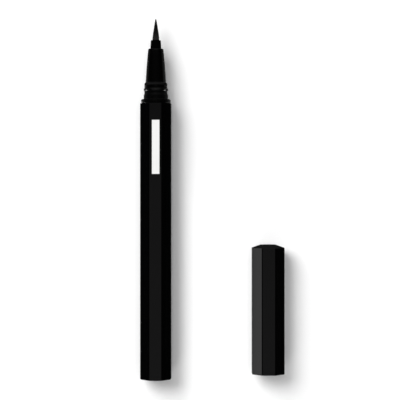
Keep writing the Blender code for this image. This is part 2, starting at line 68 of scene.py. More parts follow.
# How far a corner may be from the place that is looked for, and how much a face has to look up
WELD = 1e-5
RING_SLACK = 0.002
FOOT_SLACK = 0.01
UPWARD_SHARE = 0.5
LEANING_SHARE = 0.1

# Steps of the round forms
SMOOTH_ANGLE = math.radians(32)
ROUND_SIDES = 96
OCTAGON_SIDES = 8
CORNER_STEPS = 4
EDGE_STEPS = 6
RIM_STEPS = 3
GOLDEN_ANGLE = math.pi * (3 - math.sqrt(5))

# Fits that several pieces share
FIT_GAP = 0.30
BARREL_BORE = 4.34

# The colour sockets of a Mix node
MIX_FIRST = 6
MIX_SECOND = 7
MIX_OUT = 2

Pair = tuple[float, float]
Triple = tuple[float, float, float]
Stops = tuple[tuple[float, Triple], tuple[float, Triple]]

log = logging.getLogger("eyeliner_pen")


class Line(Enum):
    """The two lines that carry the upright pieces.

    Each value gives the body, the CAD node of its shell, and the shell's end where the line starts.
    """

    PEN = ("pen", "barrel", "front")
    CAP = ("cap", "cap_shell", "rear")

    @property
    def foot(self) -> Triple:
        """The middle of the shell's open end, in the row frame's millimetres.

        Returns:
            Its X, Y and Z.
        """
        _, shell, end = self.value
        low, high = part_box(shell)
        along = high.y if end == "front" else low.y
        return tuple(
            round(value / MM, READ_DIGITS)
            for value in ((low.x + high.x) / 2, along, (low.z + high.z) / 2)
        )

    @property
    def lay(self) -> Matrix:
        """Matrix that turns upright millimetres into the row frame's metres."""
        foot = Matrix.Translation(Vector(self.foot) * MM)
        return foot @ Matrix.Rotation(-math.pi / 2, 4, "X") @ Matrix.Scale(MM, 4)


@dataclass(frozen=True)
class Extent:
    """How far a CAD node reaches along its line and out from it, in millimetres."""

    low: float
    high: float
    radius: float

    @classmethod
    def of(cls, node: str, line: Line) -> "Extent":
        """Measure a CAD node.

        Args:
            node: The node.
            line: The line that it lies on.

        Returns:
            Its extent.
        """
        lowest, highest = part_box(node)
        start = line.foot[1]
        sizes = (lowest.y / MM - start, highest.y / MM - start, (highest.x - lowest.x) / 2 / MM)
        return cls(*(round(size, READ_DIGITS) for size in sizes))


# Shader nodes


class Flow:
    """A shader socket that does maths with Python's operators."""

    def __init__(self, sheet: "Sheet", socket: bpy.types.NodeSocket) -> None:
        """Keep the socket and the sheet that its nodes go on."""
        self.sheet = sheet
        self.socket = socket

    def _maths(self, operation: str, first: object, second: object) -> "Flow":
        """Add a Math node for one operation on two values."""
        sockets = {0: first, 1: second}
        return self.sheet.node("ShaderNodeMath", {"operation": operation}, sockets)

    def __add__(self, other: object) -> "Flow":
        """Sum."""
        return self._maths("ADD", self, other)

    def __radd__(self, other: object) -> "Flow":
        """Sum, the other way round."""
        return self._maths("ADD", other, self)

    def __sub__(self, other: object) -> "Flow":
        """Difference."""
        return self._maths("SUBTRACT", self, other)

    def __rsub__(self, other: object) -> "Flow":
        """Difference, the other way round."""
        return self._maths("SUBTRACT", other, self)

    def __mul__(self, other: object) -> "Flow":
        """Product."""
        return self._maths("MULTIPLY", self, other)

    def __rmul__(self, other: object) -> "Flow":
        """Product, the other way round."""
        return self._maths("MULTIPLY", other, self)


class Sheet:
    """The node tree of one material or world."""

    def __init__(self, tree: bpy.types.NodeTree) -> None:
        """Keep the tree."""
        self.tree = tree

    def node(
        self, kind: str, settings: dict | None = None, sockets: dict | None = None, out: int | str = 0
    ) -> Flow:
        """Add a node.

        Args:
            kind: The node's type.
            settings: Its own settings; "stops" is a ramp's two pairs of place and colour.
            sockets: Values or flows for its inputs, by name or number.
            out: The output that is wanted.

        Returns:
            That output as a flow.
        """
        made = self.tree.nodes.new(kind)
        for key, value in (settings or {}).items():
            if key == "stops":
                self._set_stops(made.color_ramp, value)
            else:
                setattr(made, key, value)
        for key, value in (sockets or {}).items():
            self.feed(made.inputs[key], value)
        return Flow(self, made.outputs[out])

    def feed(self, target: bpy.types.NodeSocket, value: object) -> None:
        """Link a flow to an input, or set its value.

        Args:
            target: The input.
            value: A flow, a number or a tuple.
        """
        if isinstance(value, Flow):
            self.tree.links.new(value.socket, target)
        else:
            target.default_value = value

    @staticmethod
    def _set_stops(ramp: bpy.types.ColorRamp, stops: Stops) -> None:
        """Set a ramp's two stops.

        Args:
            ramp: The ramp.
            stops: Their places and colours.
        """
        for element, (place, colour) in zip(ramp.elements, stops):
            element.position = place
            element.color = (*colour, 1.0)

    def object_place(self) -> Flow:
        """The point in the object's own metres."""
        return self.node("ShaderNodeTexCoord", out="Object")

    def vector(self, operation: str, first: Flow, second: Triple = (0, 0, 0), out: int | str = 0) -> Flow:
        """Add a Vector Math node.

        Args:
            operation: What it does.
            first: The vector.
            second: The other vector.
            out: The output that is wanted.

        Returns:
            That output.
        """
        return self.node("ShaderNodeVectorMath", {"operation": operation}, {0: first, 1: second}, out)

    def rise(self, value: Flow, low: float, high: float) -> Flow:
        """Rise smoothly from 0 to 1.

        Args:
            value: What is read.
            low: Where the rise starts.
            high: Where it ends.

        Returns:
            The share risen.
        """
        return self.node(
            "ShaderNodeMapRange", {"interpolation_type": "SMOOTHSTEP"},
            {"Value": value, "From Min": low, "From Max": high},
        )

    def window(self, value: Flow, low: Pair, high: Pair) -> Flow:
        """Rise over one stretch and fall over another.

        Args:
            value: What is read.
            low: Where the rise starts and ends.
            high: Where the fall starts and ends.

        Returns:
            1 between the stretches, 0 outside.
        """
        return self.rise(value, *low) * (1 - self.rise(value, *high))

    def noise(self, place: Flow, per_metre: float, detail: float, stretch: Triple) -> Flow:
        """Noise over the object.

        Args:
            place: The point.
            per_metre: Features to the metre.
            detail: Octaves.
            stretch: Scale along each axis.

        Returns:
            The noise from 0 to 1.
        """
        mapped = self.node("ShaderNodeMapping", {}, {"Vector": place, "Scale": stretch})
        return self.node(
            "ShaderNodeTexNoise", {}, {"Vector": mapped, "Scale": per_metre, "Detail": detail}, "Fac"
        )

    def ramp(self, value: Flow, stops: Stops) -> Flow:
        """Blend between two colours."""
        return self.node("ShaderNodeValToRGB", {"stops": stops}, {"Fac": value}, "Color")


@dataclass(frozen=True)
class Finish:
    """A surface whose colour, roughness and relief vary a little over the piece.

    Its distances are in metres, as Object coordinates are, and its grain is in features to the metre.
    """

    name: str
    colour: Triple
    shade: Triple
    roughness: float
    roughness_spread: float = 0.06
    specular: float = 0.5
    metallic: float = 0.0
    grain: float = 1400.0
    stretch: Triple = (1.0, 1.0, 1.0)
    relief: float = 0.02
    relief_depth: float = 0.00002
    translucence: float = 0.0
    cloud_size: float = 8.0
    cloud_detail: float = 4.0
    cloud_start: float = 0.35
    cloud_end: float = 0.68
    wear_size: float = 3.0
    wear_detail: float = 5.0
    grain_detail: float = 2.0

    def colours(self, sheet: Sheet, place: Flow) -> Flow:
        """Colour that drifts between the finish's two colours.

        Args:
            sheet: The node sheet.
            place: The point.

        Returns:
            The colour.
        """
        cloud = sheet.noise(place, self.grain / self.cloud_size, self.cloud_detail, self.stretch)
        return sheet.ramp(cloud, ((self.cloud_start, self.colour), (self.cloud_end, self.shade)))

    def material(self) -> bpy.types.Material:
        """Make the finish's material, or find it where it has been made.

        Returns:
            The material.
        """
        made = bpy.data.materials.get(self.name)
        if made:
            return made
        made = bpy.data.materials.new(self.name)
        made.use_nodes = True
        sheet = Sheet(made.node_tree)
        place = sheet.object_place()
        wear = sheet.noise(place, self.grain / self.wear_size, self.wear_detail, self.stretch)
        level = wear * (2 * self.roughness_spread) + (self.roughness - self.roughness_spread)
        height = sheet.noise(place, self.grain, self.grain_detail, self.stretch)
        bump = sheet.node(
            "ShaderNodeBump", {}, {"Height": height, "Strength": self.relief, "Distance": self.relief_depth}
        )
        inputs = made.node_tree.nodes["Principled BSDF"].inputs
        for key, value in {
            "Base Color": self.colours(sheet, place),
            "Roughness": level,
            "Normal": bump,
            "Metallic": self.metallic,
            "Specular IOR Level": self.specular,
            "Subsurface Weight": self.translucence,
            "Subsurface Scale": MM,
        }.items():
            sheet.feed(inputs[key], value)
        return made


@dataclass(frozen=True)
class BristleFinish(Finish):
    """Nylon fibre, grey at the root and black towards the point."""

    black_from: float = 0.0
    black_to: float = 0.0
    streak: float = 0.25
    streak_middle: float = 0.12
    streak_detail: float = 3.0
    streak_stretch: Triple = (1.0, 0.05, 1.0)

    def colours(self, sheet: Sheet, place: Flow) -> Flow:
        """Colour along the brush.

        Args:
            sheet: The node sheet.
            place: The point.

        Returns:
            The colour.
        """
        ahead = sheet.node("ShaderNodeSeparateXYZ", {}, {"Vector": place}, "Y")
        streaks = sheet.noise(place, self.grain, self.streak_detail, self.streak_stretch)
        # The colour turns black towards the point, along Y
        blackening = sheet.rise(ahead, self.black_from, self.black_to)
        mixed = blackening + streaks * self.streak - self.streak_middle
        return sheet.ramp(mixed, ((0.0, self.colour), (1.0, self.shade)))


@dataclass(frozen=True)
class FloorFinish(Finish):
    """Pale board that the black facets mirror dimly near the pen, and not far off."""

    middle: Triple = (0.019, 0.014, 0.0)
    reach: Triple = (1 / 0.075, 1 / 0.115, 0.0)
    near: float = 0.80
    far: float = 1.15
    dimming: float = 0.80
    dark: tuple[float, ...] = (0.01, 0.01, 0.01, 1.0)

    def colours(self, sheet: Sheet, place: Flow) -> Flow:
        """Colour of the board, dimmer to mirror rays and dark to them far from the pen.

        Args:
            sheet: The node sheet.
            place: The point.

        Returns:
            The colour.
        """
        away = sheet.vector("MULTIPLY", sheet.vector("SUBTRACT", place, self.middle), self.reach)
        far = sheet.rise(sheet.vector("LENGTH", away, out="Value"), self.near, self.far)
        mirrored = sheet.node("ShaderNodeLightPath", out="Is Glossy Ray")
        share = mirrored * (self.dimming + (1 - self.dimming) * far)
        sockets = {"Factor": share, MIX_FIRST: super().colours(sheet, place), MIX_SECOND: self.dark}
        return sheet.node("ShaderNodeMix", {"data_type": "RGBA"}, sockets, MIX_OUT)


BARREL_BLACK = Finish(
    "barrel_black", (0.0003, 0.0003, 0.0004), (0.0005, 0.0005, 0.0006), roughness=0.10,
    roughness_spread=0.01,
)
CAP_BLACK = Finish(
    "cap_black", (0.0003, 0.0003, 0.0004), (0.0005, 0.0005, 0.0006), roughness=0.12,
    roughness_spread=0.01,
)
# A lighter, matt copy of the black plastic: a painted dim sheen on the crowns and on the nose's ring band
PAINTED_SHEEN_BLACK = Finish(
    "painted_sheen_black", (0.0058, 0.0058, 0.0058), (0.0070, 0.0070, 0.0070), roughness=0.70,
    roughness_spread=0.04, specular=0.0,
)
NECK_BLACK = Finish(
    "neck_black", (0.0005, 0.0005, 0.0005), (0.0008, 0.0008, 0.0008), roughness=0.40,
    roughness_spread=0.04, specular=0.12,
)
EDGE_BLACK = Finish(
    "edge_black", (0.0005, 0.0005, 0.0005), (0.0008, 0.0008, 0.0008), roughness=0.20,
    roughness_spread=0.03, specular=0.25,
)
NOSE_BLACK = Finish(
    "nose_black", (0.0004, 0.0004, 0.0004), (0.0006, 0.0006, 0.0006), roughness=0.22,
    roughness_spread=0.03, specular=0.18,
)
TIP_BLACK = Finish(
    "tip_black", (0.0004, 0.0004, 0.0004), (0.0006, 0.0006, 0.0006), roughness=0.60,
    roughness_spread=0.05, specular=0.02,
)
LINER_BLACK = Finish("liner_black", (0.012, 0.012, 0.012), (0.018, 0.018, 0.018), roughness=0.45)
BRISTLE_BLACK = BristleFinish(
    "bristle_black", (0.020, 0.020, 0.020), (0.0012, 0.0012, 0.0012), roughness=0.45, specular=0.25,
    grain=9000.0, black_from=0.0675, black_to=0.0712,
)
NATURAL_RESIN = Finish(
    "natural_resin", (0.72, 0.71, 0.68), (0.66, 0.65, 0.61), roughness=0.36, roughness_spread=0.05,
    translucence=0.35,
)
WHITE_RESIN = Finish(
    "white_resin", (0.80, 0.80, 0.79), (0.74, 0.74, 0.73), roughness=0.42, translucence=0.15
)
FEED_FIBRE = Finish(
    "feed_fibre", (0.72, 0.70, 0.64), (0.52, 0.50, 0.45), roughness=0.90, roughness_spread=0.05,
    grain=9000.0, stretch=(1.0, 0.04, 1.0), relief=0.6, relief_depth=0.00005,
)
SEAL_RUBBER = Finish(
    "seal_rubber", (0.020, 0.020, 0.020), (0.030, 0.030, 0.029), roughness=0.62, roughness_spread=0.08
)
STEEL = Finish(
    "steel", (0.62, 0.62, 0.63), (0.56, 0.56, 0.57), roughness=0.22, roughness_spread=0.07,
    metallic=1.0, grain=5000.0,
)
PRINT_WHITE = Finish(
    "print_white", (0.83, 0.83, 0.82), (0.80, 0.80, 0.79), roughness=0.45, roughness_spread=0.05,
    specular=0.3,
)
FLOOR_WHITE = FloorFinish(
    "floor_white", (0.98, 0.98, 0.98), (0.97, 0.97, 0.97), roughness=0.9, roughness_spread=0.02,
    specular=0.0, grain=60.0,
)


# Mesh making


@dataclass(frozen=True)
class Corner:
    """A corner of a turned outline: its radius and height, and how far it is rounded."""

    radius: float
    height: float
    rounding: float = 0.0


def bevel(bm: bmesh.types.BMesh, edges: list[bmesh.types.BMEdge], offset: float, segments: int) -> None:
    """Round edges.

    Args:
        bm: The mesh.
        edges: Its edges to round.
        offset: How far from the edge the rounding starts.
        segments: Steps of the rounding.
    """
    bmesh.ops.bevel(
        bm, geom=edges, offset=offset, offset_type="OFFSET", segments=segments, profile=0.5,
        affect="EDGES", clamp_overlap=True, material=-1,
    )


def turned(corners: list[Corner], sides: int = ROUND_SIDES) -> bmesh.types.BMesh:
    """Spin a closed outline about Z and round its corners.

    Args:
        corners: The outline.
        sides: Steps of the spin.

    Returns:
        The upright mesh, in millimetres.
    """
    bm = bmesh.new()
    points = [bm.verts.new((corner.radius, 0, corner.height)) for corner in corners]
    edges = [
        bm.edges.new(pair)
        for pair in zip(points, points[1:] + points[:1])
        if max(pair[0].co.x, pair[1].co.x) > 0
    ]
    bmesh.ops.spin(
        bm, geom=points + edges, cent=(0, 0, 0), axis=(0, 0, 1), dvec=(0, 0, 0),
        angle=math.tau, steps=sides, use_merge=True,
    )
    bmesh.ops.remove_doubles(bm, verts=bm.verts, dist=WELD)
    bmesh.ops.recalc_face_normals(bm, faces=bm.faces)
    for corner in corners:
        if corner.rounding:
            bevel(bm, ring(bm, corner.radius, corner.height), corner.rounding, CORNER_STEPS)
    return bm


def ring(bm: bmesh.types.BMesh, radius: float, height: float) -> list[bmesh.types.BMEdge]:
    """Find the edges of a circle about Z.

    Args:
        bm: The mesh.
        radius: The circle's radius.
        height: Its height.

    Returns:
        Its edges.
    """
    return [
        edge
        for edge in bm.edges
        if all(
            abs(vert.co.xy.length - radius) < RING_SLACK and abs(vert.co.z - height) < RING_SLACK
            for vert in edge.verts
        )
    ]


def mark(bm: bmesh.types.BMesh, low: float, high: float, radius: float) -> None:
    """Give the second finish to the faces of a band.

    Args:
        bm: The upright mesh.
        low: The band's lower height.
        high: Its upper height.
        radius: The least distance of its faces from the axis.
    """
    for face in bm.faces:
        middle = face.calc_center_median()
        if low < middle.z < high and middle.xy.length > radius:
            face.material_index = 1


def add_piece(
    name: str, bm: bmesh.types.BMesh, line: Line, finish: Finish,
    stands_for: tuple[str, ...] = (), flat_faces: bool = False, second: Finish | None = None,
) -> bpy.types.Object:
    """Lay an upright mesh down as a finished piece that rides on its body.

    Args:
        name: The piece's name.
        bm: Its upright mesh, in millimetres.
        line: The line that carries it.
        finish: Its finish.
        stands_for: The CAD nodes that it replaces.
        flat_faces: Whether its large faces must stay flat beside their rounded edges.
        second: The finish of the faces whose material index is 1.

    Returns:
        The piece.
    """
    bmesh.ops.transform(bm, matrix=line.lay, verts=bm.verts)
    mesh = bpy.data.meshes.new(name)
    bm.to_mesh(mesh)
    bm.free()
    mesh.shade_smooth()
    mesh.set_sharp_from_angle(angle=SMOOTH_ANGLE)
    for used in filter(None, (finish, second)):
        mesh.materials.append(used.material())
    piece = bpy.data.objects.new(name, mesh)
    bpy.context.scene.collection.objects.link(piece)
    if flat_faces:
        piece.modifiers.new("flat_faces", "WEIGHTED_NORMAL").keep_sharp = True
    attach(piece, line.value[0])
    if stands_for:
        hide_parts(*stands_for)
    log.info("%s: %d faces", name, len(mesh.polygons))
    return piece


@dataclass(frozen=True)
class OctagonShell:
    """An octagonal bar with a crowned closed end and a round bore from its other end."""

    cad: Extent
    crown_height: float
    crown_flats: float
    bore: float
    end_wall: float
    edge_round: float = 0.22
    crown_round: float = 0.06
    rim_round: float = 0.12
    mouth_round: float = 0.08
    crown_step_shares: tuple[Pair, ...] = ((1.0, 1.0),)

    @property
    def length(self) -> float:
        """Its whole length."""
        return self.cad.high - self.cad.low

    @property
    def crown_foot(self) -> float:
        """The height where its crown starts."""
        return self.length - self.crown_height

    def mesh(self) -> bmesh.types.BMesh:
        """Make the upright shell.

        Returns:
            Its mesh, with the mouth at height 0.
        """
        bm = self._bar()
        self._raise_crown(bm)
        self._round_edges(bm)
        self._sink_bore(bm)
        bm.normal_update()
        # The crown's upward faces take the second finish, which paints a dim sheen on them
        for face in bm.faces:
            if face.normal.z > UPWARD_SHARE and face.calc_center_median().z > self.crown_foot:
                face.material_index = 1
        return bm

    def _bar(self) -> bmesh.types.BMesh:
        """Make the plain bar below the crown.

        Returns:
            Its upright mesh.
        """
        bm = bmesh.new()
        turn = math.pi / OCTAGON_SIDES
        bmesh.ops.create_circle(
            bm, cap_ends=True, segments=OCTAGON_SIDES, radius=self.cad.radius / math.cos(turn)
        )
        bmesh.ops.rotate(bm, verts=bm.verts, matrix=Matrix.Rotation(turn, 3, "Z"))
        raised = bmesh.ops.extrude_face_region(bm, geom=list(bm.faces))
        upper = [item for item in raised["geom"] if isinstance(item, bmesh.types.BMVert)]
        bmesh.ops.translate(bm, verts=upper, vec=(0, 0, self.crown_foot))
        bmesh.ops.recalc_face_normals(bm, faces=bm.faces)
        return bm

    def _raise_crown(self, bm: bmesh.types.BMesh) -> None:
        """Step the closed end inwards and up to its small flat.

        Args:
            bm: The upright bar.
        """
        end = [face for face in bm.faces if face.normal.z > UPWARD_SHARE]
        crown_width = self.cad.radius - self.crown_flats / 2
        for width_share, height_share in self.crown_step_shares:
            bmesh.ops.inset_region(
                bm, faces=end, thickness=width_share * crown_width,
                depth=height_share * self.crown_height, use_even_offset=True,
            )

    def _round_edges(self, bm: bmesh.types.BMesh) -> None:
        """Round the long edges, the crown's foot and flat, and the outside of the mouth.

        Args:
            bm: The upright shell.
        """
        half = self.length / 2
        uprights = [edge for edge in bm.edges if abs(edge.verts[0].co.z - edge.verts[1].co.z) > half]
        bevel(bm, uprights, self.edge_round, EDGE_STEPS)
        bevel(bm, self._crown_edges(bm), self.crown_round, RIM_STEPS)
        top = [edge for edge in bm.edges if min(v.co.z for v in edge.verts) > self.length - WELD]
        bevel(bm, top, self.crown_round, RIM_STEPS)
        rim = [edge for edge in bm.edges if max(v.co.z for v in edge.verts) < WELD]
        bevel(bm, rim, self.rim_round, RIM_STEPS)

    def _crown_edges(self, bm: bmesh.types.BMesh) -> list[bmesh.types.BMEdge]:
        """Find the edges where the crown starts.

        Args:
            bm: The upright shell.

        Returns:
            The edges.
        """
        return [
            edge
            for edge in bm.edges
            if all(abs(vert.co.z - self.crown_foot) < FOOT_SLACK for vert in edge.verts)
            and max(face.normal.z for face in edge.link_faces) > LEANING_SHARE
        ]

    def _sink_bore(self, bm: bmesh.types.BMesh) -> None:
        """Open the mouth and sink the round bore into it.

        Args:
            bm: The upright shell.
        """
        floor = [face for face in bm.faces if max(v.co.z for v in face.verts) < WELD]
        outer = [edge for edge in bm.edges if not set(floor).isdisjoint(edge.link_faces)]
        bmesh.ops.delete(bm, geom=floor, context="FACES_ONLY")
        circle = bmesh.ops.create_circle(bm, cap_ends=False, segments=ROUND_SIDES, radius=self.bore)
        inner = [edge for edge in bm.edges if set(circle["verts"]).issuperset(edge.verts)]
        bmesh.ops.triangle_fill(bm, edges=outer + inner, use_beauty=True, normal=(0, 0, -1))
        sunk = bmesh.ops.extrude_edge_only(bm, edges=inner)["geom"]
        deep = {item for item in sunk if isinstance(item, bmesh.types.BMVert)}
        bmesh.ops.translate(bm, verts=list(deep), vec=(0, 0, self.length - self.end_wall))
        far_ring = [
            item for item in sunk if isinstance(item, bmesh.types.BMEdge) and deep.issuperset(item.verts)
        ]
        bmesh.ops.edgeloop_fill(bm, edges=far_ring)
        bmesh.ops.recalc_face_normals(bm, faces=bm.faces)
        bevel(bm, ring(bm, self.bore, 0.0), self.mouth_round, RIM_STEPS)


# The pen


@dataclass
class Barrel:
    """The octagonal barrel and the plain white block printed on its upper facet."""

    shell: OctagonShell = OctagonShell(
        Extent.of("barrel", Line.PEN), crown_height=0.60, crown_flats=5.00, bore=BARREL_BORE, end_wall=1.70,
        rim_round=0.02, crown_step_shares=((0.07, 0.38), (0.15, 0.27), (0.78, 0.35)),
    )
    print_left: float = -1.14
    print_right: float = 1.37
    print_front: float = -5.70
    print_rear: float = -23.69
    print_thickness: float = 0.012
    print_round: float = 0.10

    def build(self) -> None:
        """Make the barrel and its print."""
        bm = self.shell.mesh()
        bmesh.ops.rotate(bm, verts=bm.verts, matrix=Matrix.Rotation(math.pi, 3, "X"))
        # The crown's faces get the painted sheen finish
        add_piece(
            "barrel_shell", bm, Line.PEN, BARREL_BLACK, ("barrel",), flat_faces=True,
            second=PAINTED_SHEEN_BLACK,
        )
        self.build_print()

    def build_print(self) -> None:
        """Make the printed block as a film of ink, half sunk in the facet."""
        bm = bmesh.new()
        bmesh.ops.create_cube(bm, size=1)
        width = self.print_right - self.print_left
        length = self.print_front - self.print_rear
        bmesh.ops.scale(bm, verts=bm.verts, vec=(width, self.print_thickness * 2, length))
        corners = [edge for edge in bm.edges if abs(edge.verts[0].co.y - edge.verts[1].co.y) > 0]
        bevel(bm, corners, self.print_round, CORNER_STEPS)
        middle = (
            (self.print_left + self.print_right) / 2,
            -self.shell.cad.radius,
            (self.print_front + self.print_rear) / 2,
        )
        bmesh.ops.translate(bm, verts=bm.verts, vec=middle)
        add_piece("printed_block", bm, Line.PEN, PRINT_WHITE)


@dataclass
class Neck:
    """The neck: flange, collar, cap groove and snap bead, with its spigot in the barrel."""

    cad: Extent = Extent.of("neck", Line.PEN)
    bore: float = 2.64
    spigot: float = BARREL_BORE - FIT_GAP
    lead_in: float = 0.30
    seal_front: float = -2.40
    seal_length: float = 1.20
    seal_depth: float = 0.60
    flange_front: float = 1.45
    flange_rear_round: float = 0.03
    flange_front_round: float = 0.28
    collar: float = 4.07
    collar_front: float = 2.82
    collar_foot_round: float = 0.12
    groove: float = 3.82
    groove_rear: float = 3.50
    groove_front: float = 4.22
    groove_round: float = 0.04
    bead: float = 4.12
    bead_middle: float = 4.56
    bead_front: float = 5.12
    bead_drop: float = 0.16
    bead_round: float = 0.05
    slope_round: float = 0.06
    front_step: float = 0.12
    front: float = 5.26
    socket: float = 3.25
    socket_floor: float = 1.20
    glint_margin: float = 0.01

    def build(self) -> None:
        """Make the neck."""
        rear, flange = self.cad.low, self.cad.radius
        seal_rear = self.seal_front - self.seal_length
        corners = [
            Corner(self.bore, rear),
            Corner(self.spigot - self.lead_in, rear),
            Corner(self.spigot, rear + self.lead_in),
            Corner(self.spigot, seal_rear),
            Corner(self.spigot - self.seal_depth, seal_rear),
            Corner(self.spigot - self.seal_depth, self.seal_front),
            Corner(self.spigot, self.seal_front),
            Corner(self.spigot, FIT_GAP),
            Corner(flange, FIT_GAP, self.flange_rear_round),
            Corner(flange, self.flange_front, self.flange_front_round),
            Corner(self.collar, self.flange_front, self.collar_foot_round),
            Corner(self.collar, self.collar_front, self.slope_round),
            Corner(self.groove, self.groove_rear, self.slope_round),
            Corner(self.groove, self.groove_front, self.groove_round),
            Corner(self.bead, self.bead_middle, self.bead_round),
            Corner(self.bead - self.bead_drop, self.bead_front, self.slope_round),
            Corner(self.groove - self.front_step, self.front),
            Corner(self.socket, self.front),
            Corner(self.socket, self.socket_floor),
            Corner(self.bore, self.socket_floor),
        ]
        bm = turned(corners)
        mark(bm, self.groove_front + self.glint_margin, self.bead_front - self.glint_margin, self.groove)
        add_piece(
            "neck_moulding", bm, Line.PEN, NECK_BLACK, ("neck",), second=EDGE_BLACK
        )


@dataclass
class Nose:
    """The front ring and the tapering nose, with its shank in the neck."""

    cad: Extent = Extent.of("nose_cone", Line.PEN)
    shank: float = 2.95
    shank_bore: float = 2.40
    ring_rear: float = 5.35
    ring_front: float = 7.15
    ring_rear_round: float = 0.08
    ring_front_drop: float = 0.38
    ring_front_round: float = 0.02
    band_rear: float = 6.24
    band_front: float = 6.88
    band_slope: float = 0.18
    band_drop: float = 0.08
    base: float = 3.44
    front: float = 2.55
    front_round: float = 0.36
    swell: float = 0.126
    swell_power: float = 2.2
    arc_steps: int = 16
    mouth: float = 1.885
    mouth_round: float = 0.08
    tube_seat: float = 12.20

    def outside(self, share: float) -> Corner:
        """Work out a point of the cone's gently swelling side.

        Args:
            share: How far along the cone, from 0 to 1.

        Returns:
            The point.
        """
        radius = self.base + (self.front - self.base) * share
        bulge = self.swell * share * (1 - share**self.swell_power)
        return Corner(radius + bulge, self.ring_front + (self.cad.high - self.ring_front) * share)

    def build(self) -> None:
        """Make the nose."""
        rear, tip, ring_radius = self.cad.low, self.cad.high, self.cad.radius
        corners = [
            Corner(self.shank_bore, rear),
            Corner(self.shank, rear),
            Corner(self.shank, self.ring_rear),
            Corner(ring_radius, self.ring_rear, self.ring_rear_round),
            Corner(ring_radius, self.band_rear),
            Corner(ring_radius, self.band_front - self.band_slope),
            Corner(ring_radius - self.band_drop, self.band_front),
            Corner(ring_radius - self.ring_front_drop, self.ring_front, self.ring_front_round),
            *(self.outside(step / self.arc_steps) for step in range(self.arc_steps)),
            Corner(self.front, tip, self.front_round),
            Corner(self.mouth, tip, self.mouth_round),
            Corner(self.mouth, self.tube_seat),
            Corner(self.shank_bore, self.tube_seat),
        ]
        bm = turned(corners)
        # The ring's band takes the second finish, a painted light line across the ring
        mark(bm, self.band_rear, self.band_front, self.base)
        add_piece(
            "nose_moulding", bm, Line.PEN, NOSE_BLACK, ("nose_cone",), second=PAINTED_SHEEN_BLACK
        )


@dataclass
class TipTube:
    """The small tube that the brush comes out of, with its flange in the nose."""

    cad: Extent = Extent.of("tip_tube", Line.PEN)
    flange_length: float = 1.50
    rear_radius: float = 1.84
    taper_start: float = Extent.of("nose_cone", Line.PEN).high
    front_radius: float = 1.67
    front_round: float = 0.16
    bore: float = 1.235
    mouth_round: float = 0.08
    sides: int = 72

    def build(self) -> None:
        """Make the tube."""
        flange_front = self.cad.low + self.flange_length
        corners = [
            Corner(self.bore, self.cad.low),
            Corner(self.cad.radius, self.cad.low),
            Corner(self.cad.radius, flange_front),
            Corner(self.rear_radius, flange_front),
            Corner(self.rear_radius, self.taper_start),
            Corner(self.front_radius, self.cad.high, self.front_round),
            Corner(self.bore, self.cad.high, self.mouth_round),
        ]
        bm = turned(corners, self.sides)
        add_piece("tip_sleeve", bm, Line.PEN, TIP_BLACK, ("tip_tube",))


